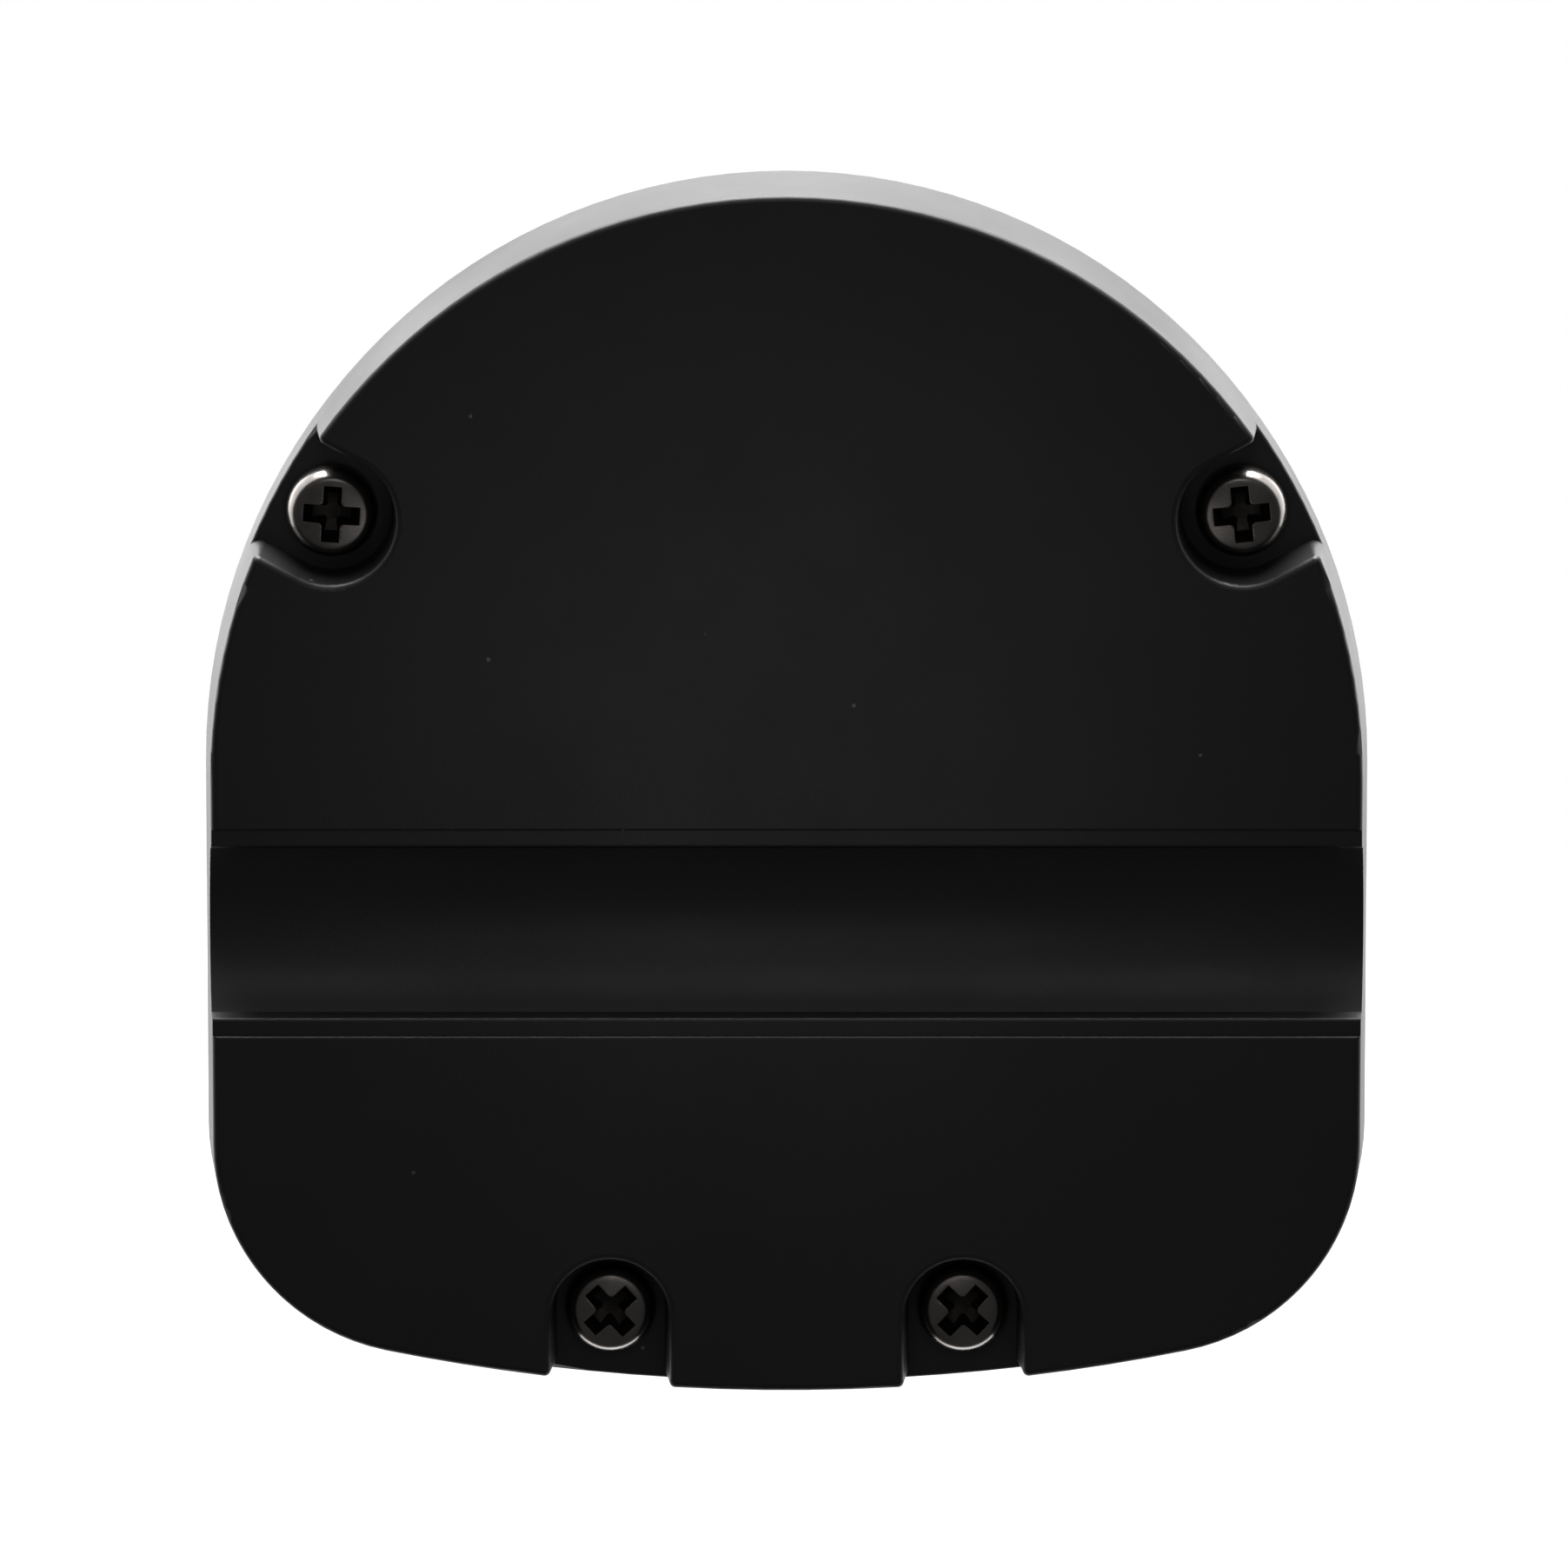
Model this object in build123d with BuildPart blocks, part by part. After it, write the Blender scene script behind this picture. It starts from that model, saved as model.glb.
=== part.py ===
from build123d import *
import math
import os

os.makedirs("parts", exist_ok=True)

# Compact pedestrian traffic light with a request button, in millimetres.
# X runs across the unit, +Y towards the pedestrian, +Z up. The origin is the mouth of the stem socket
# in the underside. Depths are counted from the rear face towards the front, and heights ("up") from
# the centre of the crown's arc.

# ---- the D-shaped outline of the rear face ----
UNIT_WIDTH = 100.0
UNIT_HEIGHT = 105.35
CROWN_RADIUS = 49.0
SHOULDER_RADIUS = 51.7
CORNER_RADIUS = 18.8
BASE_RADIUS = 174.0

# ---- where the stem socket stands ----
STEM_DEPTH = 21.0
CROWN_HEIGHT = 57.2

# ---- shells ----
COVER_DEPTH = 10.6
COVER_DRAFT = 4.5
COVER_WALL = 2.4
RIM_WALL = 4.3
EDGE_ROUND = 0.6
TOTAL_DEPTH = 40.0
HOUSING_DRAFT = 10.0
FRONT_WALL = 3.5
FRONT_ROUND = 2.6
BOSS_END = 19.5
GASKET_THICKNESS = 1.0

# ---- cover screws in their open notches ----
UPPER_SCREWS = [(-39.5, 20.7), (39.5, 20.7)]
LOWER_SCREWS = [(-15.45, -49.9), (15.45, -49.9)]
NOTCH_DEPTH = 6.3
UPPER_NOTCH_RADIUS = 5.7
LOWER_NOTCH_RADIUS = 5.25
NOTCH_REACH = 14.0
NOTCH_WALL = 1.9
MOUTH_ROUND = 1.0
FLOOR_ROUND = 0.4
SCREW_RADIUS = 2.0
SCREW_LENGTH = 12.0
SCREW_HEAD_RADIUS = 4.0
SCREW_HEAD_HEIGHT = 3.1

# ---- rail channel across the rear ----
CHANNEL_UP = -15.65
CHANNEL_HALF = 9.1
CHANNEL_INNER_HALF = 7.6
CHANNEL_STEP = 0.35
CHANNEL_WALL_END = 1.75
CHANNEL_DEPTH = 4.1
CHANNEL_LIP = 0.2
CHANNEL_BACKING = 6.5

# ---- window and light unit ----
WINDOW_RADIUS = 34.0
WINDOW_FLOOR = -6.0
LENS_FLANGE = 2.4
VISOR_RADIUS = 40.6
VISOR_FLOOR = -12.0
VISOR_TIP = 56.0
LIGHT_RADIUS = 37.5
LIGHT_FLOOR = -11.0
LIGHT_EARS = [(-39.8, -8.0), (39.8, -8.0), (0.0, 40.4)]
FIGURE_X = 17.0

# ---- request button ----
BUTTON_UP = -32.0
BUTTON_TRAVEL = 2.5
TUBE_RADIUS = 13.0
TUBE_BORE = 12.2

# ---- control board ----
BOARD_REAR = 13.5
BOARD_FRONT = 15.1
BOARD_HALF = 31.0
BOARD_TOP = 16.0
BOARD_BOTTOM = -43.0
POSTS = [(-27.0, -39.0), (27.0, -39.0), (-27.0, -14.5), (27.0, -14.5)]
SPACERS = [(-25.0, 12.0), (25.0, 12.0)]

# ---- stem socket ----
STEM_BORE = 5.2
COLLAR_RADIUS = 7.4
COLLAR_HEIGHT = 12.7
BOSS_RADIUS = 9.6
BOSS_HEIGHT = 10.2

FLARE = COVER_DEPTH * math.tan(math.radians(COVER_DRAFT))
NOTCH_FLARE = (NOTCH_DEPTH + FLOOR_ROUND) * math.tan(math.radians(COVER_DRAFT))
CAVITY_GROW = FLARE - RIM_WALL


def across(depth):
    """Plane across the unit, facing the rear: local X is +X, local Y is up from the crown's centre."""
    return Plane(origin=(0, depth - STEM_DEPTH, CROWN_HEIGHT), x_dir=(1, 0, 0), z_dir=(0, -1, 0))


def facing_front(depth):
    """The same plane turned to face the pedestrian, for work that grows forwards."""
    return Plane(origin=(0, depth - STEM_DEPTH, CROWN_HEIGHT), x_dir=(-1, 0, 0), z_dir=(0, 1, 0))


def spots(plane, points, turn=0.0):
    """Places on a plane, each turned about the plane's normal."""
    return [plane.location * Location((x, up, 0), (0, 0, turn)) for x, up in points]


def outline(grow):
    """The D-shaped outline as a face: crown, two shoulders, straight sides, corners and a bowed base."""
    half = UNIT_WIDTH / 2
    shoulder_gap = SHOULDER_RADIUS - CROWN_RADIUS
    crown_turn = math.asin((SHOULDER_RADIUS - half) / shoulder_gap)
    shoulder_x = -shoulder_gap * math.sin(crown_turn)
    shoulder_up = -shoulder_gap * math.cos(crown_turn)
    base_turn = math.asin((half - CORNER_RADIUS) / (BASE_RADIUS - CORNER_RADIUS))
    base_up = CROWN_RADIUS - UNIT_HEIGHT + BASE_RADIUS
    corner_x = half - CORNER_RADIUS
    corner_up = base_up - (BASE_RADIUS - CORNER_RADIUS) * math.cos(base_turn)
    crown_deg = math.degrees(crown_turn)
    base_deg = math.degrees(base_turn)
    with BuildSketch() as face:
        with BuildLine():
            CenterArc((0, 0), CROWN_RADIUS + grow, 90 - crown_deg, 2 * crown_deg)
            CenterArc((shoulder_x, shoulder_up), SHOULDER_RADIUS + grow, 0, 90 - crown_deg)
            CenterArc((-shoulder_x, shoulder_up), SHOULDER_RADIUS + grow, 90 + crown_deg, 90 - crown_deg)
            Line((half + grow, shoulder_up), (half + grow, corner_up))
            Line((-half - grow, shoulder_up), (-half - grow, corner_up))
            CenterArc((corner_x, corner_up), CORNER_RADIUS + grow, base_deg - 90, 90 - base_deg)
            CenterArc((-corner_x, corner_up), CORNER_RADIUS + grow, 180, 90 - base_deg)
            CenterArc((0, base_up), BASE_RADIUS + grow, -90 - base_deg, 2 * base_deg)
        make_face()
    return face.sketch


def open_slots(upper_half, lower_half):
    """Four slots of these half widths that start round the cover screws and run out past the edge."""
    with BuildSketch() as slots:
        for x, up in UPPER_SCREWS + LOWER_SCREWS:
            half_width = upper_half if up > 0 else lower_half
            turn = math.atan2(up, x) if up > 0 else -math.pi / 2
            middle = (x + NOTCH_REACH / 2 * math.cos(turn), up + NOTCH_REACH / 2 * math.sin(turn))
            with Locations(middle):
                SlotCenterToCenter(NOTCH_REACH, 2 * half_width, rotation=math.degrees(turn))
    return slots.sketch


def arched(radius, floor, corner=1.5):
    """A round-topped window: the part of a circle above a level floor, with eased bottom corners."""
    with BuildSketch() as window:
        Circle(radius)
        with Locations((0, floor)):
            Rectangle(4 * radius, 4 * radius, align=(Align.CENTER, Align.MAX), mode=Mode.SUBTRACT)
        fillet(window.vertices(), corner)
    return window.sketch


def pan_screw(shank_radius, length, head_radius, head_height):
    """Pan-head screw with a cross recess: head above local Z = 0, shank below."""
    with BuildPart() as screw:
        with BuildSketch(Plane.XZ):
            with BuildLine():
                brow = (head_radius * 0.7, head_height * 0.88)
                Polyline((0, head_height), (0, 0), (head_radius * 0.94, 0), (head_radius, head_height * 0.3))
                ThreePointArc((head_radius, head_height * 0.3), (head_radius * 0.93, head_height * 0.66), brow)
                dome_radius = (brow[0] ** 2 + (head_height - brow[1]) ** 2) / (2 * (head_height - brow[1]))
                dome_drop = dome_radius - math.sqrt(dome_radius**2 - (brow[0] / 2) ** 2)
                ThreePointArc(brow, (brow[0] / 2, head_height - dome_drop), (0, head_height))
            make_face()
        revolve(axis=Axis.Z)
        with BuildSketch():
            Circle(shank_radius)
        extrude(amount=-length)
        chamfer(screw.faces().sort_by(Axis.Z)[0].edges(), shank_radius * 0.35)
        recess_depth = head_height * 0.62
        with BuildSketch(Plane.XY.offset(head_height - recess_depth)):
            Rectangle(head_radius * 0.8, head_radius * 0.2)
            Rectangle(head_radius * 0.2, head_radius * 0.8)
        extrude(amount=recess_depth + 1, taper=-9, mode=Mode.SUBTRACT)
    return screw.part


def limb(start, end, width):
    """A round-ended stroke between two points, for the figures' bodies, arms and legs."""
    middle = ((start[0] + end[0]) / 2, (start[1] + end[1]) / 2)
    run = math.dist(start, end)
    turn = math.degrees(math.atan2(end[1] - start[1], end[0] - start[0]))
    with Locations(middle):
        SlotCenterToCenter(run, width, rotation=turn)


def ring(front, rear, outer, inner):
    """A plain ring about the button's axis between two depths."""
    with BuildPart() as tube:
        with BuildSketch(across(front)):
            with Locations((0, BUTTON_UP)):
                Circle(outer)
                Circle(inner, mode=Mode.SUBTRACT)
        extrude(amount=front - rear)
    return tube.part


def save(piece, name):
    """Labels a finished piece and writes its STEP file."""
    piece.part.label = name
    export_step(piece.part, f"parts/{name}.step")


# ======================= rear cover =======================


def is_mouth_corner(corner):
    """True for a corner where a screw's notch opens through the edge of the outline."""
    near = min(math.dist((corner.X, corner.Y), screw) for screw in UPPER_SCREWS + LOWER_SCREWS)
    return UPPER_NOTCH_RADIUS + 0.3 < near < 2 * LOWER_NOTCH_RADIUS


with BuildPart() as rear_cover:
    # a plain layer that ends in the notches' floors, with its edge eased, then a layer with the notches
    # left out, which starts a little deeper and so covers that edge everywhere else
    with BuildSketch(across(COVER_DEPTH)):
        add(outline(FLARE))
    extrude(amount=COVER_DEPTH - NOTCH_DEPTH, taper=COVER_DRAFT)
    fillet(rear_cover.faces().sort_by(Axis.Y)[0].edges(), FLOOR_ROUND)
    with BuildSketch(across(NOTCH_DEPTH + FLOOR_ROUND)) as notched:
        add(outline(NOTCH_FLARE))
        add(
            open_slots(UPPER_NOTCH_RADIUS - NOTCH_FLARE, LOWER_NOTCH_RADIUS - NOTCH_FLARE),
            mode=Mode.SUBTRACT,
        )
        mouth_corners = notched.vertices().filter_by(is_mouth_corner)
        fillet(mouth_corners, MOUTH_ROUND)
    extrude(amount=NOTCH_DEPTH + FLOOR_ROUND, taper=COVER_DRAFT)
    fillet(rear_cover.faces().sort_by(Axis.Y)[0].edges(), EDGE_ROUND)

    # the channel: a lip, a narrow ledge, a steep wall and a hollow floor
    channel_plane = Plane(
        origin=(-UNIT_WIDTH, -STEM_DEPTH, CROWN_HEIGHT + CHANNEL_UP), x_dir=(0, 1, 0), z_dir=(1, 0, 0)
    )
    lip_middle = CHANNEL_LIP * (1 - math.sqrt(0.5))
    with BuildSketch(channel_plane):
        with BuildLine():
            for side in (1, -1):
                outer = side * (CHANNEL_HALF + CHANNEL_LIP)
                wall_foot = side * (CHANNEL_INNER_HALF - 0.35)
                Line((-1, outer), (0, outer))
                lip_crest = (lip_middle, side * (CHANNEL_HALF + lip_middle))
                ThreePointArc((0, outer), lip_crest, (CHANNEL_LIP, side * CHANNEL_HALF))
                Polyline(
                    (CHANNEL_LIP, side * CHANNEL_HALF),
                    (CHANNEL_STEP, side * CHANNEL_HALF),
                    (CHANNEL_STEP, side * CHANNEL_INNER_HALF),
                    (CHANNEL_WALL_END, wall_foot),
                )
            Line((-1, CHANNEL_HALF + CHANNEL_LIP), (-1, -CHANNEL_HALF - CHANNEL_LIP))
            ThreePointArc(
                (CHANNEL_WALL_END, CHANNEL_INNER_HALF - 0.35),
                (CHANNEL_DEPTH, 0),
                (CHANNEL_WALL_END, 0.35 - CHANNEL_INNER_HALF),
            )
        make_face()
    extrude(amount=2 * UNIT_WIDTH, mode=Mode.SUBTRACT)
    channel_brows = (
        rear_cover.edges()
        .filter_by(Axis.X)
        .filter_by_position(Axis.Y, CHANNEL_STEP - STEM_DEPTH - 0.01, CHANNEL_STEP - STEM_DEPTH + 0.01)
        .sort_by(lambda edge: abs(edge.center().Z - CROWN_HEIGHT - CHANNEL_UP))[:2]
    )
    fillet(channel_brows, 0.3)

    # the hollow inside, in two steps so that the channel keeps its backing
    with BuildSketch(across(COVER_DEPTH)):
        add(outline(CAVITY_GROW))
        add(open_slots(UPPER_NOTCH_RADIUS + NOTCH_WALL, LOWER_NOTCH_RADIUS + NOTCH_WALL), mode=Mode.SUBTRACT)
    extrude(amount=COVER_DEPTH - CHANNEL_BACKING, mode=Mode.SUBTRACT)
    with BuildSketch(across(CHANNEL_BACKING)):
        add(outline(CAVITY_GROW))
        add(open_slots(UPPER_NOTCH_RADIUS + NOTCH_WALL, LOWER_NOTCH_RADIUS + NOTCH_WALL), mode=Mode.SUBTRACT)
        with Locations((0, CHANNEL_UP)):
            Rectangle(2 * UNIT_WIDTH, 2 * (CHANNEL_HALF + 1.4), mode=Mode.SUBTRACT)
    extrude(amount=CHANNEL_BACKING - COVER_WALL, mode=Mode.SUBTRACT)

    with BuildSketch(across(COVER_DEPTH)):
        with Locations(*UPPER_SCREWS, *LOWER_SCREWS):
            Circle(SCREW_RADIUS + 0.25)
    extrude(amount=COVER_DEPTH, mode=Mode.SUBTRACT)
save(rear_cover, "rear_cover")

cover_screw = pan_screw(SCREW_RADIUS, SCREW_LENGTH, SCREW_HEAD_RADIUS, SCREW_HEAD_HEIGHT)
with BuildPart() as cover_screws:
    with Locations(*spots(across(NOTCH_DEPTH), UPPER_SCREWS, 4)):
        add(cover_screw)
    with Locations(*spots(across(NOTCH_DEPTH), LOWER_SCREWS, 45)):
        add(cover_screw)
save(cover_screws, "cover_screws")

# ======================= front housing =======================

INSERT_RADIUS = 2.7
INSERT_END = 17.9
RING_OUT = 1.0
RING_IN = 2.6
LENS_SEAT = 37.8
POST_RADIUS = 2.8
EAR_RADIUS = 2.6
EAR_FRONT = 26.0


def gasket_ring(ease=0.0):
    """Flat seal that follows the rim and passes inside the screws; ease widens it for its groove."""
    with BuildSketch() as seal:
        add(outline(FLARE - RING_OUT + ease))
        add(open_slots(4.0 - ease, 4.0 - ease), mode=Mode.SUBTRACT)
        with BuildSketch(mode=Mode.SUBTRACT):
            add(outline(FLARE - RING_IN - ease))
            add(open_slots(5.6 + ease, 5.6 + ease), mode=Mode.SUBTRACT)
    return seal.sketch


with BuildPart() as front_housing:
    with BuildSketch(facing_front(COVER_DEPTH)):
        add(outline(FLARE))
    extrude(amount=TOTAL_DEPTH - COVER_DEPTH, taper=HOUSING_DRAFT)
    fillet(front_housing.faces().sort_by(Axis.Y)[-1].edges(), FRONT_ROUND)

    # hollow: a straight part beside the insert bosses, then a part that follows the tapered wall
    with BuildSketch(facing_front(COVER_DEPTH)):
        add(outline(CAVITY_GROW))
        add(open_slots(6.5, 6.5), mode=Mode.SUBTRACT)
    extrude(amount=BOSS_END - COVER_DEPTH, mode=Mode.SUBTRACT)
    with BuildSketch(facing_front(BOSS_END)):
        add(outline(CAVITY_GROW))
    extrude(amount=TOTAL_DEPTH - FRONT_WALL - BOSS_END, taper=HOUSING_DRAFT, mode=Mode.SUBTRACT)

    # posts for the control board and for the light unit's ears
    with BuildSketch(across(TOTAL_DEPTH - FRONT_WALL)):
        with Locations(*POSTS):
            Circle(POST_RADIUS)
    extrude(amount=TOTAL_DEPTH - FRONT_WALL - BOARD_FRONT)
    with BuildSketch(across(TOTAL_DEPTH - FRONT_WALL)):
        with Locations(*LIGHT_EARS):
            Circle(EAR_RADIUS)
    extrude(amount=TOTAL_DEPTH - FRONT_WALL - EAR_FRONT)

    # boss of the stem socket, standing on the underside
    with BuildSketch(Plane.XY):
        Circle(BOSS_RADIUS)
    extrude(amount=BOSS_HEIGHT)
    with BuildSketch(Plane.XY):
        Circle(COLLAR_RADIUS)
    extrude(amount=BOSS_HEIGHT + 5, mode=Mode.SUBTRACT)
    with BuildSketch(Plane.XY):
        Circle(COLLAR_RADIUS + 1.25)
    extrude(amount=1.8, mode=Mode.SUBTRACT)

    # openings in the front wall
    with BuildSketch(across(TOTAL_DEPTH)):
        add(arched(WINDOW_RADIUS, WINDOW_FLOOR))
        with Locations((0, BUTTON_UP)):
            Circle(TUBE_RADIUS + 0.1)
    extrude(amount=FRONT_WALL, mode=Mode.SUBTRACT)
    with BuildSketch(across(TOTAL_DEPTH)):
        add(arched(WINDOW_RADIUS + LENS_FLANGE + 0.3, WINDOW_FLOOR - LENS_FLANGE - 0.3))
    extrude(amount=TOTAL_DEPTH - LENS_SEAT, mode=Mode.SUBTRACT)

    # holes for inserts and screws, and the seal's groove
    with BuildSketch(across(INSERT_END + 0.6)):
        with Locations(*UPPER_SCREWS, *LOWER_SCREWS):
            Circle(INSERT_RADIUS)
    extrude(amount=INSERT_END + 0.6 - COVER_DEPTH, mode=Mode.SUBTRACT)
    with BuildSketch(across(BOARD_FRONT + 7)):
        with Locations(*POSTS):
            Circle(1.25)
    extrude(amount=7, mode=Mode.SUBTRACT)
    with BuildSketch(across(EAR_FRONT + 7)):
        with Locations(*LIGHT_EARS):
            Circle(1.25)
    extrude(amount=7, mode=Mode.SUBTRACT)
    with BuildSketch(across(COVER_DEPTH + GASKET_THICKNESS)):
        add(gasket_ring(0.1))
    extrude(amount=GASKET_THICKNESS, mode=Mode.SUBTRACT)
    with BuildSketch(across(TOTAL_DEPTH)):
        with Locations((-38.4, -9.8), (38.4, -9.8)):
            Circle(1.1)
    extrude(amount=3, mode=Mode.SUBTRACT)
save(front_housing, "front_housing")

with BuildPart() as cover_gasket:
    with BuildSketch(across(COVER_DEPTH + GASKET_THICKNESS)):
        add(gasket_ring())
    extrude(amount=GASKET_THICKNESS)
save(cover_gasket, "cover_gasket")

with BuildPart() as threaded_inserts:
    with BuildSketch(across(INSERT_END)):
        with Locations(*UPPER_SCREWS, *LOWER_SCREWS):
            Circle(INSERT_RADIUS)
            Circle(SCREW_RADIUS + 0.05, mode=Mode.SUBTRACT)
    extrude(amount=INSERT_END - COVER_DEPTH - 0.3)
    for low, high in ((12.4, 12.9), (15.6, 16.1)):
        with BuildSketch(across(high)):
            with Locations(*UPPER_SCREWS, *LOWER_SCREWS):
                Circle(INSERT_RADIUS)
                Circle(INSERT_RADIUS - 0.25, mode=Mode.SUBTRACT)
        extrude(amount=high - low, mode=Mode.SUBTRACT)
save(threaded_inserts, "threaded_inserts")

# ======================= window =======================

LENS_REAR = 38.3
LENS_FLANGE_FRONT = 39.95
VISOR_BASE = 42.0
HOOD_THICKNESS = 1.9
VISOR_SCREWS = [(-38.4, -9.8), (38.4, -9.8)]

with BuildPart() as lens_gasket:
    with BuildSketch(across(LENS_REAR)):
        add(arched(WINDOW_RADIUS + LENS_FLANGE, WINDOW_FLOOR - LENS_FLANGE))
        add(arched(WINDOW_RADIUS + 0.5, WINDOW_FLOOR - 0.5), mode=Mode.SUBTRACT)
    extrude(amount=LENS_REAR - LENS_SEAT)
save(lens_gasket, "lens_gasket")

with BuildPart() as signal_lens:
    with BuildSketch(across(LENS_FLANGE_FRONT)):
        add(arched(WINDOW_RADIUS + LENS_FLANGE, WINDOW_FLOOR - LENS_FLANGE))
    extrude(amount=LENS_FLANGE_FRONT - LENS_REAR)
    with BuildSketch(facing_front(LENS_FLANGE_FRONT)):
        add(arched(WINDOW_RADIUS, WINDOW_FLOOR))
    extrude(amount=1.6)
    fillet(signal_lens.faces().sort_by(Axis.Y)[-1].edges(), 0.9)
save(signal_lens, "signal_lens")

with BuildPart() as visor:
    with BuildSketch(facing_front(TOTAL_DEPTH)):
        add(arched(VISOR_RADIUS, VISOR_FLOOR, 3))
        with Locations(*VISOR_SCREWS):
            Circle(4.2)
    extrude(amount=VISOR_BASE - TOTAL_DEPTH)
    with BuildSketch(facing_front(TOTAL_DEPTH)):
        Circle(VISOR_RADIUS)
        Circle(VISOR_RADIUS - HOOD_THICKNESS, mode=Mode.SUBTRACT)
        with Locations((0, -6)):
            Rectangle(100, 60, align=(Align.CENTER, Align.MAX), mode=Mode.SUBTRACT)
    extrude(amount=VISOR_TIP - TOTAL_DEPTH)
    with BuildSketch(facing_front(TOTAL_DEPTH)):
        add(arched(WINDOW_RADIUS + 0.4, WINDOW_FLOOR - 0.4))
    extrude(amount=VISOR_BASE - TOTAL_DEPTH, mode=Mode.SUBTRACT)
    # the hood's mouth, cut back from its tip to its feet in one curve
    side_plane = Plane(origin=(-60, -STEM_DEPTH, CROWN_HEIGHT), x_dir=(0, 1, 0), z_dir=(1, 0, 0))
    with BuildSketch(side_plane):
        with BuildLine():
            ThreePointArc((VISOR_TIP - 0.5, 41), (49.5, 14), (VISOR_BASE, -7))
            Polyline((VISOR_BASE, -7), (70, -7), (70, 41), (VISOR_TIP - 0.5, 41))
        make_face()
    extrude(amount=120, mode=Mode.SUBTRACT)
    with BuildSketch(facing_front(TOTAL_DEPTH)):
        with Locations(*VISOR_SCREWS):
            Circle(1.4)
    extrude(amount=VISOR_BASE - TOTAL_DEPTH, mode=Mode.SUBTRACT)
save(visor, "visor")

visor_screw = pan_screw(1.05, 4.6, 2.5, 1.8)
with BuildPart() as visor_screws:
    with Locations(*spots(facing_front(VISOR_BASE), VISOR_SCREWS, 20)):
        add(visor_screw)
save(visor_screws, "visor_screws")

# ======================= light unit =======================

MASK_FRONT = 36.4
MASK_REAR = 35.4
DIFFUSER_REAR = 33.9
LIGHT_BOX_REAR = 24.0
LED_BOARD_REAR = 22.4
LIGHT_WALL = 1.5
EAR_PLATE = 3.4

with BuildPart() as figure_mask:
    with BuildSketch(across(MASK_FRONT)):
        add(arched(LIGHT_RADIUS, LIGHT_FLOOR))
    extrude(amount=MASK_FRONT - MASK_REAR)
    # a standing figure on +X and a walking figure on -X, both plain strokes
    with BuildSketch(across(MASK_FRONT)):
        with Locations((FIGURE_X, 23.2)):
            Circle(2.7)
        limb((FIGURE_X, 16.6), (FIGURE_X, 8.5), 5.2)
        limb((FIGURE_X - 4.3, 16.2), (FIGURE_X - 4.3, 8.4), 1.9)
        limb((FIGURE_X + 4.3, 16.2), (FIGURE_X + 4.3, 8.4), 1.9)
        limb((FIGURE_X - 3.6, 17.4), (FIGURE_X + 3.6, 17.4), 2.4)
        limb((FIGURE_X - 1.6, 7.5), (FIGURE_X - 1.6, -2.6), 2.3)
        limb((FIGURE_X + 1.6, 7.5), (FIGURE_X + 1.6, -2.6), 2.3)
        with Locations((-FIGURE_X, 23.2)):
            Circle(2.7)
        limb((-FIGURE_X, 16.6), (-FIGURE_X + 0.5, 8.5), 5.0)
        limb((-FIGURE_X + 0.5, 17.4), (-FIGURE_X + 5.2, 10.6), 1.9)
        limb((-FIGURE_X - 0.5, 17.4), (-FIGURE_X - 5.0, 11.6), 1.9)
        limb((-FIGURE_X + 0.8, 7.8), (-FIGURE_X + 4.8, -2.6), 2.4)
        limb((-FIGURE_X, 7.8), (-FIGURE_X - 3.2, 2.6), 2.4)
        limb((-FIGURE_X - 3.2, 2.6), (-FIGURE_X - 5.6, -2.6), 2.2)
    extrude(amount=MASK_FRONT - MASK_REAR, mode=Mode.SUBTRACT)
save(figure_mask, "figure_mask")

for name, side in (("red_diffuser", 1), ("green_diffuser", -1)):
    with BuildPart() as diffuser:
        with BuildSketch(across(MASK_REAR)):
            add(arched(LIGHT_RADIUS - 0.2, LIGHT_FLOOR + 0.2))
            with Locations((side * 0.2, 0)):
                Rectangle(100, 100, align=(Align.MAX if side > 0 else Align.MIN, Align.CENTER), mode=Mode.SUBTRACT)
        extrude(amount=MASK_REAR - DIFFUSER_REAR)
    save(diffuser, name)

with BuildPart() as light_box:
    with BuildSketch(across(DIFFUSER_REAR)):
        add(arched(LIGHT_RADIUS, LIGHT_FLOOR))
        add(arched(LIGHT_RADIUS - LIGHT_WALL, LIGHT_FLOOR + LIGHT_WALL), mode=Mode.SUBTRACT)
        Rectangle(LIGHT_WALL, 2 * (LIGHT_RADIUS - 0.5), mode=Mode.ADD)
        with Locations((0, LIGHT_FLOOR)):
            Rectangle(100, 100, align=(Align.CENTER, Align.MAX), mode=Mode.SUBTRACT)
    extrude(amount=DIFFUSER_REAR - LIGHT_BOX_REAR)
    with BuildSketch(across(EAR_FRONT)):
        with Locations(*LIGHT_EARS):
            Circle(EAR_PLATE)
            Circle(1.35, mode=Mode.SUBTRACT)
        add(arched(LIGHT_RADIUS - 0.5, LIGHT_FLOOR + 0.5), mode=Mode.SUBTRACT)
    extrude(amount=EAR_FRONT - LIGHT_BOX_REAR)
save(light_box, "light_box")

with BuildPart() as led_board:
    with BuildSketch(across(LIGHT_BOX_REAR)):
        add(arched(LIGHT_RADIUS, LIGHT_FLOOR))
        with Locations(*LIGHT_EARS):
            Circle(EAR_PLATE)
            Circle(1.35, mode=Mode.SUBTRACT)
    extrude(amount=LIGHT_BOX_REAR - LED_BOARD_REAR)
save(led_board, "led_board")

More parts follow.
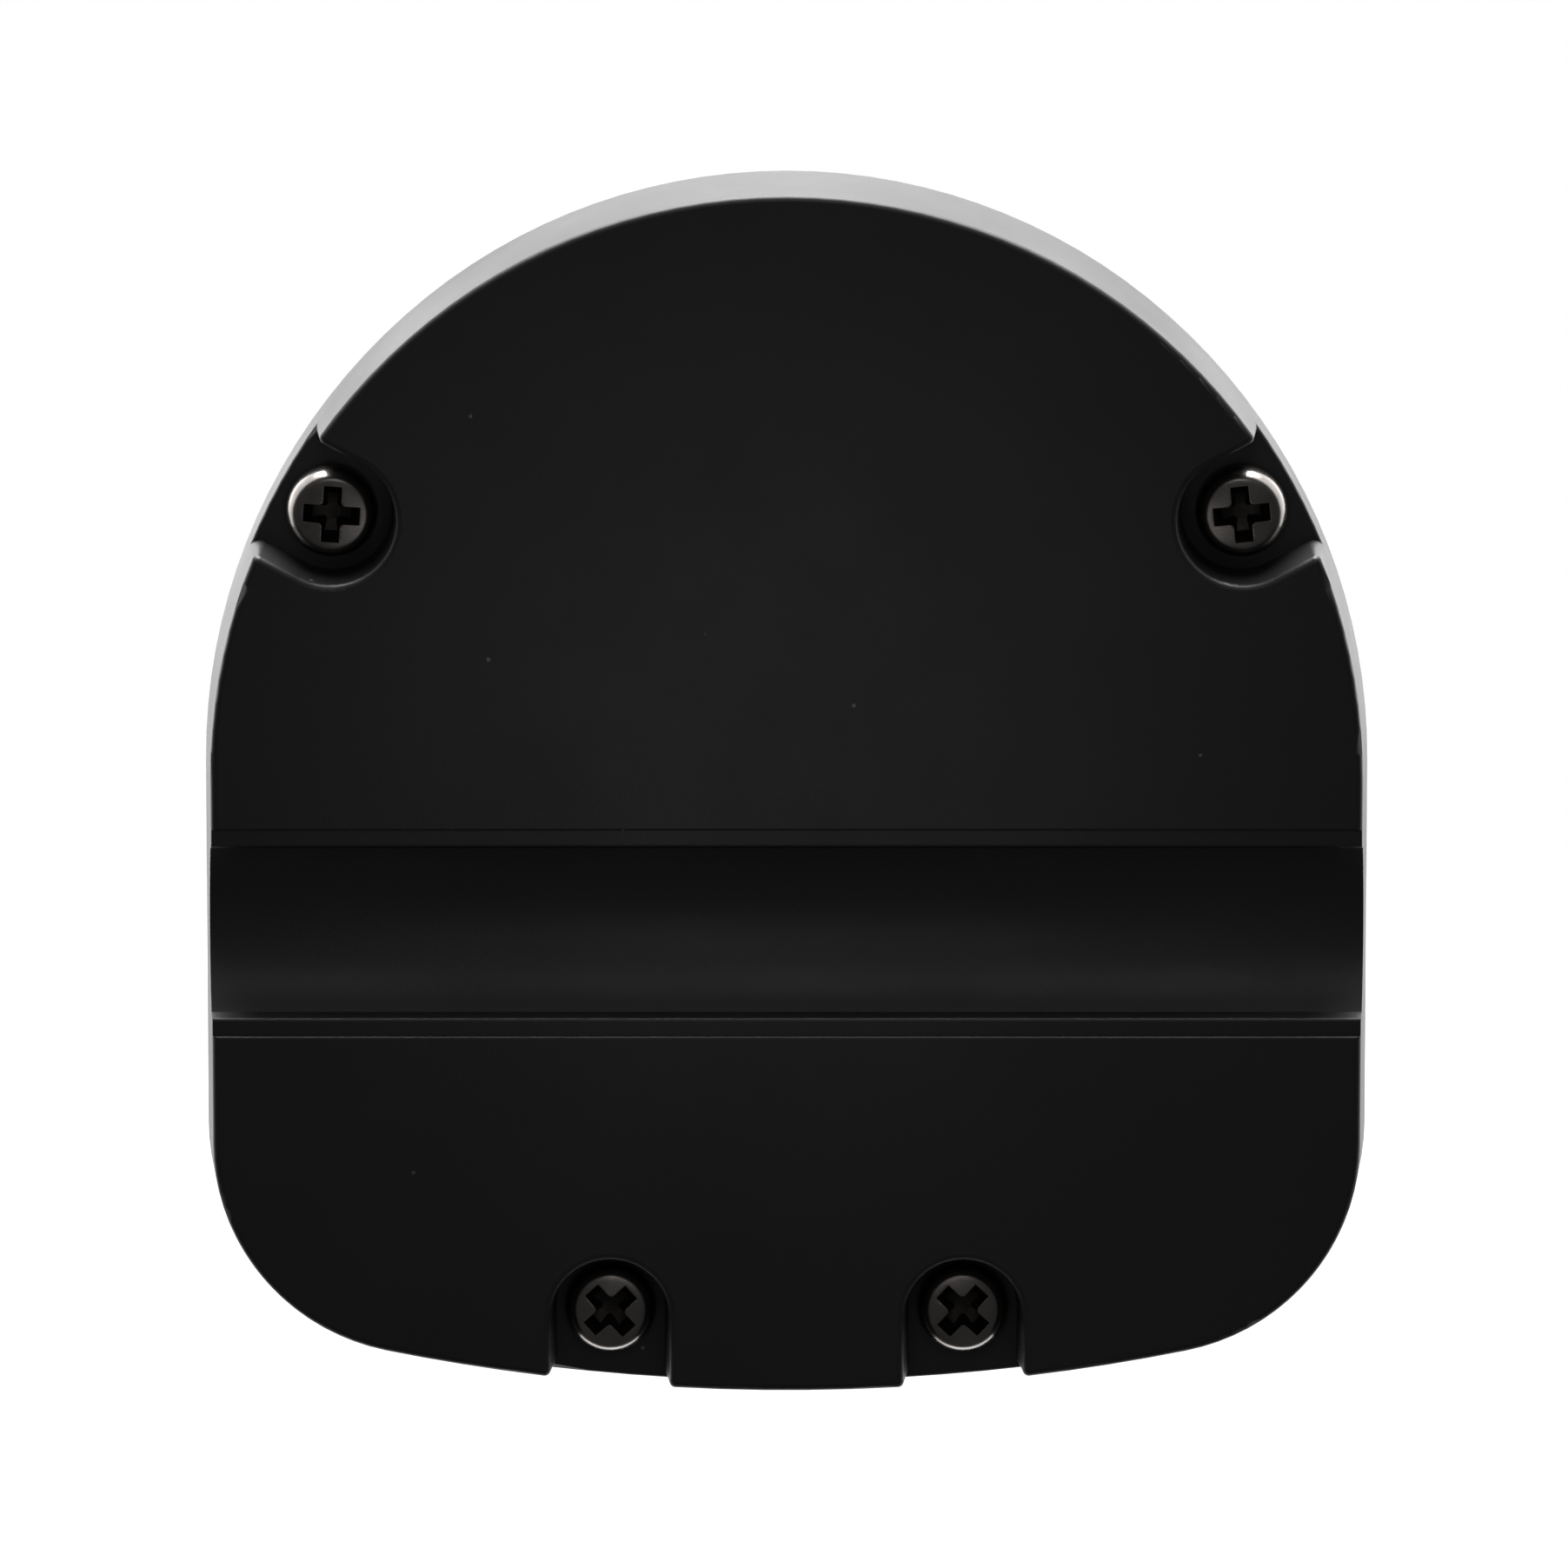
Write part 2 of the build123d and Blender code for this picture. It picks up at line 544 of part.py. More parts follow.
for name, side in (("red_leds", 1), ("green_leds", -1)):
    with BuildPart() as leds:
        with BuildSketch(across(LIGHT_BOX_REAR + 1.4)):
            with Locations((side * FIGURE_X, 8)):
                with GridLocations(8, 9, 3, 4):
                    Rectangle(3.5, 2.8)
        extrude(amount=1.4)
        with BuildSketch(across(LIGHT_BOX_REAR + 1.9)):
            with Locations((side * FIGURE_X, 8)):
                with GridLocations(8, 9, 3, 4):
                    Circle(1.1)
        extrude(amount=0.5)
    save(leds, name)

light_box_screw = pan_screw(1.2, 9.0, 2.4, 1.7)
with BuildPart() as light_box_screws:
    with Locations(*spots(across(LED_BOARD_REAR), LIGHT_EARS, 10)):
        add(light_box_screw)
save(light_box_screws, "light_box_screws")

# ======================= control board =======================

with BuildPart() as control_board:
    with BuildSketch(across(BOARD_FRONT)):
        with Locations((0, (BOARD_TOP + BOARD_BOTTOM) / 2)):
            RectangleRounded(2 * BOARD_HALF, BOARD_TOP - BOARD_BOTTOM, 2)
        with Locations(*POSTS, *SPACERS):
            Circle(1.35, mode=Mode.SUBTRACT)
    extrude(amount=BOARD_FRONT - BOARD_REAR)
save(control_board, "control_board")

with BuildPart() as board_spacers:
    with BuildSketch(across(LED_BOARD_REAR)):
        with Locations(*SPACERS):
            RegularPolygon(2.6, 6)
            Circle(1.25, mode=Mode.SUBTRACT)
    extrude(amount=LED_BOARD_REAR - BOARD_FRONT)
save(board_spacers, "board_spacers")

board_screw = pan_screw(1.2, 6.0, 2.4, 1.7)
with BuildPart() as board_screws:
    with Locations(*spots(across(BOARD_REAR), POSTS + SPACERS, 30)):
        add(board_screw)
save(board_screws, "board_screws")

with BuildPart() as microcontroller:
    with BuildSketch(across(BOARD_REAR)):
        with Locations((0, -18)):
            Rectangle(7, 7)
    extrude(amount=1.4)
    chamfer(microcontroller.faces().sort_by(Axis.Y)[0].edges(), 0.2)
    for turn in (0, 90):
        with BuildSketch(across(BOARD_REAR)):
            with Locations(Location((0, -18, 0), (0, 0, turn))):
                with GridLocations(0.8, 7.9, 8, 2):
                    Rectangle(0.35, 1.2)
        extrude(amount=0.35)
save(microcontroller, "microcontroller")

CAPACITORS = [(-19.0, 4.5), (-9.5, 4.5)]
with BuildPart() as power_capacitors:
    with BuildSketch(across(BOARD_REAR)):
        with Locations(*CAPACITORS):
            Circle(4)
    extrude(amount=8.6)
    fillet(power_capacitors.faces().group_by(Axis.Y)[0].edges(), 0.5)
    with BuildSketch(across(BOARD_REAR - 1.9)):
        with Locations(*CAPACITORS):
            Circle(4)
            Circle(3.75, mode=Mode.SUBTRACT)
    extrude(amount=0.5, mode=Mode.SUBTRACT)
save(power_capacitors, "power_capacitors")

with BuildPart() as relay:
    with BuildSketch(across(BOARD_REAR)):
        with Locations((12, 4.5)):
            Rectangle(19, 10)
    extrude(amount=9.6)
    fillet(relay.edges().filter_by(Axis.Y), 0.8)
    chamfer(relay.faces().sort_by(Axis.Y)[0].edges(), 0.4)
save(relay, "relay")

with BuildPart() as sounder:
    with BuildSketch(across(BOARD_FRONT + 5.4)):
        with Locations((-17, -27)):
            Circle(6)
    extrude(amount=5.4)
    fillet(sounder.faces().sort_by(Axis.Y)[-1].edges(), 0.5)
    with BuildSketch(across(BOARD_FRONT + 5.4)):
        with Locations((-17, -27)):
            Circle(1)
    extrude(amount=0.8, mode=Mode.SUBTRACT)
save(sounder, "sounder")

TERMINAL_PITCH = 5.0
TERMINAL_UP = -37.0
TERMINAL_REAR = 4.6
with BuildPart() as terminal_block:
    with BuildSketch(across(BOARD_REAR)):
        with Locations((0, TERMINAL_UP)):
            Rectangle(4 * TERMINAL_PITCH, 8)
    extrude(amount=BOARD_REAR - TERMINAL_REAR)
    chamfer(terminal_block.faces().sort_by(Axis.Y)[0].edges().filter_by(Axis.X), 1.2)
    with BuildSketch(across(TERMINAL_REAR + 3)):
        with Locations((0, TERMINAL_UP)):
            with GridLocations(TERMINAL_PITCH, 1, 4, 1):
                Circle(1.8)
    extrude(amount=4, mode=Mode.SUBTRACT)
    wire_plane = Plane(
        origin=(0, BOARD_REAR - STEM_DEPTH - 3.2, CROWN_HEIGHT + TERMINAL_UP - 4), x_dir=(1, 0, 0), z_dir=(0, 0, 1)
    )
    with BuildSketch(wire_plane):
        with GridLocations(TERMINAL_PITCH, 1, 4, 1):
            Rectangle(3, 3)
    extrude(amount=5, mode=Mode.SUBTRACT)
save(terminal_block, "terminal_block")

with BuildPart() as terminal_screws:
    with BuildSketch(across(TERMINAL_REAR + 3)):
        with Locations((0, TERMINAL_UP)):
            with GridLocations(TERMINAL_PITCH, 1, 4, 1):
                Circle(1.7)
    extrude(amount=1.6)
    with BuildSketch(across(TERMINAL_REAR + 2)):
        with Locations((0, TERMINAL_UP)):
            with GridLocations(TERMINAL_PITCH, 1, 4, 1):
                Rectangle(3.6, 0.6, rotation=35)
    extrude(amount=1, mode=Mode.SUBTRACT)
save(terminal_screws, "terminal_screws")

with BuildPart() as board_link:
    with BuildSketch(across(LED_BOARD_REAR)):
        with Locations((0, 10)):
            Rectangle(12.7, 5.1)
    extrude(amount=LED_BOARD_REAR - BOARD_FRONT)
    chamfer(board_link.edges().filter_by(Axis.Y), 0.6)
save(board_link, "board_link")

# ======================= request button =======================

BEZEL_FRONT = 43.8
BEZEL_SEAT = 40.8
BEZEL_RADIUS = 15.5
LIP_REAR = 41.6
MOUTH_RADIUS = 10.9
SKIRT_FRONT = 41.5
SKIRT_REAR = 37.0
SKIRT_RADIUS = 11.9
CAP_RADIUS = 10.6
CAP_FRONT = 45.4
CAP_CROWN = 0.5
STEM_SHOULDER = 28.0
STEM_TIP = 25.2
GUIDE_FRONT = 33.0

button_plane = Plane(
    origin=(0, -STEM_DEPTH, CROWN_HEIGHT + BUTTON_UP), x_dir=(1, 0, 0), z_dir=(0, 0, 1)
)
button_axis = Axis((0, 0, CROWN_HEIGHT + BUTTON_UP), (0, 1, 0))

with BuildPart() as button_bezel:
    add(ring(BEZEL_FRONT, BEZEL_SEAT, BEZEL_RADIUS, MOUTH_RADIUS))
    add(ring(BEZEL_SEAT, 30.5, TUBE_RADIUS, TUBE_BORE))
    fillet(button_bezel.edges().filter_by(GeomType.CIRCLE).sort_by(Axis.Y).group_by(Axis.Y)[-1], 0.6)
    with BuildSketch(across(LIP_REAR)):
        with Locations((0, BUTTON_UP)):
            Circle(TUBE_BORE)
    extrude(amount=2, mode=Mode.SUBTRACT)
    with BuildSketch(across(BEZEL_FRONT)):
        with Locations((0, BUTTON_UP)):
            Circle(14)
            Circle(12, mode=Mode.SUBTRACT)
    extrude(amount=1, mode=Mode.SUBTRACT)
save(button_bezel, "button_bezel")

with BuildPart() as button_gasket:
    add(ring(BEZEL_SEAT, TOTAL_DEPTH, BEZEL_RADIUS - 0.6, TUBE_RADIUS + 0.3))
save(button_gasket, "button_gasket")

with BuildPart() as button_nut:
    with BuildSketch(across(TOTAL_DEPTH - FRONT_WALL - 0.1)):
        with Locations((0, BUTTON_UP)):
            RegularPolygon(17.2, 6)
            Circle(TUBE_RADIUS + 0.05, mode=Mode.SUBTRACT)
    extrude(amount=3.4)
save(button_nut, "button_nut")

with BuildPart() as button_light_ring:
    add(ring(BEZEL_FRONT + 0.1, BEZEL_FRONT - 0.95, 13.95, 12.05))
    fillet(button_light_ring.faces().sort_by(Axis.Y)[-1].edges(), 0.25)
save(button_light_ring, "button_light_ring")

with BuildPart() as push_button:
    # half section in the plane of the axis: radius along X, depth along Y, turned once round
    cap_sphere = ((CAP_RADIUS - 1) ** 2 + CAP_CROWN**2) / (2 * CAP_CROWN)
    cap_reach = (CAP_RADIUS - 1) / 2
    cap_middle = (cap_reach, CAP_FRONT - cap_sphere + math.sqrt(cap_sphere**2 - cap_reach**2))
    with BuildSketch(button_plane):
        with BuildLine():
            Polyline(
                (0, STEM_TIP),
                (0.7, STEM_TIP),
                (1.2, STEM_TIP + 0.5),
                (1.2, STEM_SHOULDER),
                (3.2, STEM_SHOULDER),
                (3.5, STEM_SHOULDER + 0.3),
                (3.5, 39.5),
                (9.3, 39.5),
                (9.3, SKIRT_REAR),
                (SKIRT_RADIUS, SKIRT_REAR),
                (SKIRT_RADIUS, 38.6),
                (10.8, 38.6),
                (10.8, 39.8),
                (SKIRT_RADIUS, 39.8),
                (SKIRT_RADIUS, SKIRT_FRONT),
                (CAP_RADIUS, SKIRT_FRONT),
                (CAP_RADIUS, CAP_FRONT - 1.4),
            )
            ThreePointArc(
                (CAP_RADIUS, CAP_FRONT - 1.4),
                (CAP_RADIUS - 0.3, CAP_FRONT - 0.72),
                (CAP_RADIUS - 1, CAP_FRONT - CAP_CROWN),
            )
            ThreePointArc((CAP_RADIUS - 1, CAP_FRONT - CAP_CROWN), cap_middle, (0, CAP_FRONT))
            Line((0, CAP_FRONT), (0, STEM_TIP))
        make_face()
    revolve(axis=button_axis)
save(push_button, "push_button")

with BuildPart() as button_seal:
    with BuildSketch(button_plane):
        with Locations((11.45, 39.2)):
            Circle(0.55)
    revolve(axis=button_axis)
save(button_seal, "button_seal")

with BuildPart() as button_guide:
    add(ring(GUIDE_FRONT, 30.8, TUBE_BORE - 0.02, 3.8))
    add(ring(30.8, 29.0, 5.4, 3.8))
save(button_guide, "button_guide")

SPRING_WIRE = 0.4
SPRING_RADIUS = 6.0
with BuildPart() as return_spring:
    coil_foot = (0, GUIDE_FRONT + SPRING_WIRE + 0.05 - STEM_DEPTH, CROWN_HEIGHT + BUTTON_UP)
    coil_height = 39.5 - GUIDE_FRONT - 2 * SPRING_WIRE - 0.1
    with BuildLine():
        coil = Helix(coil_height / 4, coil_height, SPRING_RADIUS, center=coil_foot, direction=(0, 1, 0))
    with BuildSketch(Plane(origin=coil @ 0, z_dir=coil % 0)):
        Circle(SPRING_WIRE)
    sweep(path=coil, is_frenet=True)
save(return_spring, "return_spring")

# ======================= microswitch =======================

PIVOT_X = 8.5
PIVOT_DEPTH = 22.2
LEVER_REST = 15.0
SWITCH_TOP = 21.6

with BuildPart() as switch_body:
    with BuildSketch(across(SWITCH_TOP)):
        with Locations((3, BUTTON_UP)):
            Rectangle(12.8, 5.8)
    extrude(amount=SWITCH_TOP - BOARD_FRONT)
    chamfer(switch_body.edges().filter_by(Axis.Y), 0.4)
    with BuildSketch(across((SWITCH_TOP + BOARD_FRONT) / 2)):
        with Locations((3, BUTTON_UP)):
            with GridLocations(6.4, 1, 2, 1):
                Circle(0.9)
    extrude(amount=1, mode=Mode.SUBTRACT)
    with BuildSketch(across(SWITCH_TOP + 0.2)):
        with Locations((4.5, BUTTON_UP)):
            SlotCenterToCenter(0.8, 1.2, rotation=90)
    extrude(amount=0.2)
save(switch_body, "switch_body")

lever_plane = Plane(
    origin=(0, -STEM_DEPTH, CROWN_HEIGHT + BUTTON_UP - 1.6), x_dir=(1, 0, 0), z_dir=(0, 0, 1)
)
with BuildPart() as switch_lever:
    slope = math.radians(LEVER_REST)
    along = (-math.cos(slope), math.sin(slope))
    normal = (math.sin(slope), math.cos(slope))
    tip = (PIVOT_X + 13.4 * along[0], PIVOT_DEPTH + 13.4 * along[1])
    with BuildSketch(lever_plane):
        with BuildLine():
            Polyline(
                (PIVOT_X - 0.2 * normal[0], PIVOT_DEPTH - 0.2 * normal[1]),
                (tip[0] - 0.2 * normal[0], tip[1] - 0.2 * normal[1]),
                (tip[0] + 0.2 * normal[0], tip[1] + 0.2 * normal[1]),
                (PIVOT_X + 0.2 * normal[0], PIVOT_DEPTH + 0.2 * normal[1]),
                close=True,
            )
        make_face()
        with Locations((PIVOT_X, PIVOT_DEPTH)):
            Circle(0.5)
    extrude(amount=3.2)
save(switch_lever, "switch_lever")

# ======================= stem socket =======================

with BuildPart() as stem_collar:
    with BuildSketch(Plane.XY):
        Circle(COLLAR_RADIUS - 0.02)
    extrude(amount=COLLAR_HEIGHT)
    with BuildSketch(Plane.XY):
        Circle(COLLAR_RADIUS + 1.2)
    extrude(amount=1.2)
    with BuildSketch(Plane.XY):
        Circle(STEM_BORE)
    extrude(amount=COLLAR_HEIGHT, mode=Mode.SUBTRACT)
save(stem_collar, "stem_collar")

with BuildPart() as collar_seal:
    with BuildSketch(Plane.XY.offset(1.2)):
        Circle(COLLAR_RADIUS + 1.1)
        Circle(COLLAR_RADIUS + 0.05, mode=Mode.SUBTRACT)
    extrude(amount=0.6)
save(collar_seal, "collar_seal")

with BuildPart() as collar_locknut:
    with BuildSketch(Plane.XY.offset(BOSS_HEIGHT)):
        RegularPolygon(9.4, 6, rotation=30)
        Circle(COLLAR_RADIUS, mode=Mode.SUBTRACT)
    extrude(amount=COLLAR_HEIGHT - BOSS_HEIGHT)
save(collar_locknut, "collar_locknut")
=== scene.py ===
import math
import random

import bmesh
import bpy
from mathutils import Matrix, Vector


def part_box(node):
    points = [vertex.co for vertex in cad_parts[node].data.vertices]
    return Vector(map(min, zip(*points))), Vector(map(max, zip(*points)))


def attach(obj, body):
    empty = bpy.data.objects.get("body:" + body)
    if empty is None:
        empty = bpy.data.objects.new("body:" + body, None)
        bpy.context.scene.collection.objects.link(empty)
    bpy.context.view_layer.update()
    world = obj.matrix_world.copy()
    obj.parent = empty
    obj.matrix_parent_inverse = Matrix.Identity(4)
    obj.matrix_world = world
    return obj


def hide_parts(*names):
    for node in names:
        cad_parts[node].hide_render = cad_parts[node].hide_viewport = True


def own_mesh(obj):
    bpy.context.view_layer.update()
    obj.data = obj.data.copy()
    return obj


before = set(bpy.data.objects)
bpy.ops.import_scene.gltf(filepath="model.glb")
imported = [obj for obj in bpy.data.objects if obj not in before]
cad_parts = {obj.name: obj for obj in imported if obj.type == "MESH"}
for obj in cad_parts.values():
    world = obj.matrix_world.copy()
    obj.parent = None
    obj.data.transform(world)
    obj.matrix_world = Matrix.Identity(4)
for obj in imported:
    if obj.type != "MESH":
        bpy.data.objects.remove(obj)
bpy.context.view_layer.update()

MM = 0.001


REAR_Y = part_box("rear_cover")[0].y


# ---------------------------------------------------------------- materials

def feed(tree, socket, value):
    """Links a node's output to the socket, or sets the socket to a plain value."""
    if isinstance(value, bpy.types.NodeSocket):
        tree.links.new(value, socket)
    else:
        socket.default_value = value


def add_node(tree, kind, inputs=None, **settings):
    """A new node with its settings made and its inputs fed."""
    node = tree.nodes.new(kind)
    for name, value in settings.items():
        setattr(node, name, value)
    for name, value in (inputs or {}).items():
        feed(tree, node.inputs[name], value)
    return node


class Nodes:
    """A material under construction: its tree, with short ways to add and join nodes."""

    def __init__(self, name):
        self.material = bpy.data.materials.new(name)
        self.material.use_nodes = True
        self.tree = self.material.node_tree
        self.shader = self.tree.nodes["Principled BSDF"]
        self.place = self.add("ShaderNodeTexCoord").outputs["Object"]

    def add(self, kind, inputs=None, **settings):
        return add_node(self.tree, kind, inputs, **settings)

    def noise(self, scale, detail=3.0, roughness=0.55, stretch=(1, 1, 1)):
        """Noise over the object, with scale in features per metre."""
        mapping = self.add("ShaderNodeMapping", {"Vector": self.place, "Scale": stretch})
        inputs = {"Vector": mapping.outputs[0], "Scale": scale, "Detail": detail, "Roughness": roughness}
        return self.add("ShaderNodeTexNoise", inputs).outputs["Fac"]

    def span(self, value, low, high, to_low, to_high):
        """The value stretched from one range to another."""
        inputs = {"Value": value, "From Min": low, "From Max": high, "To Min": to_low, "To Max": to_high}
        return self.add("ShaderNodeMapRange", inputs).outputs["Result"]

    def mix(self, factor, first, second):
        node = self.add("ShaderNodeMix", data_type="RGBA")
        for name, value in (("Factor", factor), ("A", first), ("B", second)):
            feed(self.tree, node.inputs[name], value)
        return node.outputs["Result"]

    def bump(self, height, strength, distance):
        inputs = {"Height": height, "Strength": strength, "Distance": distance}
        return self.add("ShaderNodeBump", inputs).outputs["Normal"]

    def specks(self, per_metre, size):
        """Sparse round specks: 1 on a speck, 0 elsewhere."""
        inputs = {"Vector": self.place, "Scale": per_metre}
        cells = self.add("ShaderNodeTexVoronoi", inputs)
        near = self.span(cells.outputs["Distance"], size * 0.6, size, 1.0, 0.0)
        chosen = self.span(cells.outputs["Color"], 0.62, 0.64, 0.0, 1.0)
        return self.add("ShaderNodeMath", {0: near, 1: chosen}, operation="MULTIPLY").outputs[0]

    def set(self, **values):
        """Feeds the shader's sockets by short names and returns the material."""
        names = {
            "color": "Base Color", "rough": "Roughness", "metal": "Metallic", "normal": "Normal",
            "ior": "IOR", "through": "Transmission Weight", "under_skin": "Subsurface Weight",
            "glow": "Emission Color", "glow_strength": "Emission Strength",
        }
        for name, value in values.items():
            feed(self.tree, self.shader.inputs[names[name]], value)
        return self.material


def moulding(name, tone, rough=0.42, grain=9000, depth=0.00003):
    """Fine-textured black moulded plastic with a little dust and slightly uneven gloss."""
    m = Nodes(name)
    dark = (tone * 0.95, tone * 0.97, tone, 1)
    light = (tone * 1.35, tone * 1.38, tone * 1.42, 1)
    cloud = m.noise(45, 4)
    body = m.mix(m.span(cloud, 0.3, 0.7, 0, 1), dark, light)
    dust = m.specks(160, 0.035)
    dusty = m.mix(dust, body, (0.16, 0.16, 0.15, 1))
    gloss = m.span(m.noise(70, 5), 0.25, 0.75, rough - 0.04, rough + 0.05)
    spark = m.noise(grain, 2, 0.6)
    return m.set(color=dusty, rough=gloss, normal=m.bump(spark, 0.35, depth), ior=1.5)


def metal(name, color, rough=0.3, scratch=1.0, turned=False):
    """Plated or bare metal with fine scratches, or turning lines."""
    m = Nodes(name)
    darker = tuple(c * 0.72 for c in color) + (1,)
    stain = m.noise(600, 5)
    body = m.mix(m.span(stain, 0.35, 0.75, 0, 1), tuple(color) + (1,), darker)
    stretch = (1, 18, 1) if turned else (1, 1, 14)
    lines = m.noise(1500, 3, 0.6, stretch)
    gloss = m.span(lines, 0.3, 0.7, rough * 0.85, rough * 1.25)
    return m.set(color=body, metal=1.0, rough=gloss, normal=m.bump(lines, 0.12 * scratch, 0.00002))


def rubber():
    """Black rubber with a faint grey bloom."""
    m = Nodes("rubber")
    bloom = m.noise(900, 4)
    body = m.mix(m.span(bloom, 0.4, 0.8, 0, 1), (0.016, 0.016, 0.016, 1), (0.05, 0.05, 0.048, 1))
    return m.set(color=body, rough=m.span(bloom, 0.3, 0.7, 0.6, 0.8), normal=m.bump(bloom, 0.3, 0.00005))


def plastic(name, color, rough=0.3, under_skin=0.0):
    """Moulded plastic with faint flow marks; under_skin lets light spread inside it."""
    m = Nodes(name)
    flow = m.noise(220, 4, 0.5, (1, 1, 3))
    darker = tuple(c * 0.82 for c in color) + (1,)
    body = m.mix(m.span(flow, 0.35, 0.7, 0, 1), tuple(color) + (1,), darker)
    grain = m.bump(m.noise(5000, 2), 0.15, 0.00003)
    gloss = m.span(flow, 0.3, 0.7, rough * 0.9, rough * 1.15)
    return m.set(color=body, rough=gloss, normal=grain, under_skin=under_skin)


def smoked_lens():
    """Clear polycarbonate with a grey tint and faint fine scratches."""
    m = Nodes("smoked_lens")
    hairline = m.noise(900, 4, 0.6, (1, 1, 9))
    tint = m.mix(m.span(hairline, 0.4, 0.7, 0, 1), (0.42, 0.43, 0.45, 1), (0.38, 0.39, 0.41, 1))
    return m.set(color=tint, rough=m.span(hairline, 0.35, 0.8, 0.015, 0.05), ior=1.45, through=1.0)


def lit_sheet(name, color, glow):
    """Diffusing sheet with the regular dots of the lamps behind it; glow is 0 where they are off."""
    m = Nodes(name)
    flow = m.noise(220, 4)
    darker = tuple(c * 0.85 for c in color) + (1,)
    body = m.mix(m.span(flow, 0.3, 0.7, 0, 1), tuple(color) + (1,), darker)
    cells = m.add("ShaderNodeTexVoronoi", {"Vector": m.place, "Scale": 420.0, "Randomness": 0.0})
    dots = m.span(cells.outputs["Distance"], 0.25, 0.62, 1.0, 0.35)
    m.set(color=body, rough=0.35, under_skin=0.2, normal=m.bump(m.noise(4000, 2), 0.2, 0.00003))
    if glow:
        m.set(glow=body, glow_strength=m.span(dots, 0.0, 1.0, 0.0, glow))
    return m.material


def circuit_board():
    """Green solder mask over raised tracks, with a woven epoxy grain."""
    m = Nodes("circuit_board")
    cells = m.add("ShaderNodeTexVoronoi", {"Vector": m.place, "Scale": 420}, distance="CHEBYCHEV")
    tracks = m.span(cells.outputs["Distance"], 0.42, 0.46, 0, 1)
    mask = m.mix(tracks, (0.012, 0.11, 0.05, 1), (0.02, 0.2, 0.085, 1))
    weave = m.noise(4000, 2)
    return m.set(color=mask, rough=m.span(weave, 0.3, 0.7, 0.25, 0.4), normal=m.bump(tracks, 0.3, 0.00003))


COVER = moulding("cover_moulding", 0.0095, 0.42)
HOUSING = moulding("housing_moulding", 0.0085, 0.46)
VISOR = moulding("visor_moulding", 0.0075, 0.55, 6000, 0.00005)
MASK = moulding("mask_sheet", 0.004, 0.8)
RUBBER = rubber()
BOARD = circuit_board()
# black nickel made lighter than the screw tops' copy, so the shoulders light up: painted highlight
LIT_BLACK_NICKEL = metal("black_nickel_painted_highlight", (0.5, 0.47, 0.45), 0.22, 0.5)
# a darker copy of the black nickel for the screw heads' top faces: painted shade on the top
SHADED_NICKEL_TOP = metal("nickel_top_painted_shade", (0.2, 0.185, 0.175), 0.3, 0.5)
# near-black rough metal for the inside of the cross recess: painted shade in the recess
RECESS_SHADE = metal("recess_painted_shade", (0.05, 0.046, 0.042), 0.5)
ZINC = metal("bright_zinc", (0.62, 0.63, 0.65), 0.28)
BRASS = metal("turned_brass", (0.72, 0.52, 0.24), 0.3, turned=True)
STEEL = metal("turned_steel", (0.36, 0.365, 0.37), 0.34, turned=True)
NICKEL = metal("nickel_plate", (0.5, 0.48, 0.44), 0.28, turned=True)

FINISH = {
    "rear_cover": COVER,
    "cover_screws": LIT_BLACK_NICKEL,
    "cover_gasket": RUBBER,
    "front_housing": HOUSING,
    "threaded_inserts": BRASS,
    "visor": VISOR,
    "visor_screws": LIT_BLACK_NICKEL,
    "signal_lens": smoked_lens(),
    "lens_gasket": RUBBER,
    "figure_mask": MASK,
    "red_diffuser": lit_sheet("red_sheet", (0.8, 0.018, 0.01), 5.0),
    "green_diffuser": lit_sheet("green_sheet", (0.015, 0.34, 0.12), 0.0),
    "light_box": plastic("white_moulding", (0.85, 0.85, 0.82), 0.3),
    "led_board": BOARD,
    "red_leds": plastic("led_package_red", (0.9, 0.86, 0.75), 0.25),
    "green_leds": plastic("led_package_green", (0.88, 0.88, 0.8), 0.25),
    "light_box_screws": ZINC,
    "control_board": BOARD,
    "board_spacers": BRASS,
    "board_screws": ZINC,
    "microcontroller": plastic("chip_epoxy", (0.02, 0.02, 0.022), 0.45),
    "power_capacitors": metal("capacitor_can", (0.7, 0.71, 0.73), 0.35),
    "relay": plastic("relay_case", (0.02, 0.08, 0.35), 0.25),
    "sounder": plastic("sounder_case", (0.015, 0.015, 0.016), 0.3),
    "terminal_block": plastic("terminal_moulding", (0.04, 0.3, 0.1), 0.35),
    "terminal_screws": ZINC,
    "board_link": plastic("header_moulding", (0.015, 0.015, 0.015), 0.4),
    "button_bezel": STEEL,
    "button_gasket": RUBBER,
    "button_nut": plastic("black_nylon", (0.025, 0.025, 0.028), 0.45),
    "button_light_ring": plastic("ring_acrylic", (0.42, 0.45, 0.47), 0.25, 0.2),
    "push_button": plastic("red_cap", (0.3, 0.006, 0.005), 0.3, 0.03),
    "button_seal": RUBBER,
    "return_spring": STEEL,
    "button_guide": plastic("natural_nylon", (0.7, 0.68, 0.6), 0.45, 0.2),
    "switch_body": plastic("switch_phenolic", (0.02, 0.02, 0.02), 0.4),
    "switch_lever": ZINC,
    "stem_collar": NICKEL,
    "collar_seal": RUBBER,
    "collar_locknut": NICKEL,
}
for node_name, node_finish in FINISH.items():
    for material_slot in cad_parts[node_name].material_slots:
        material_slot.material = node_finish


# ---------------------------------------------------------------- screws

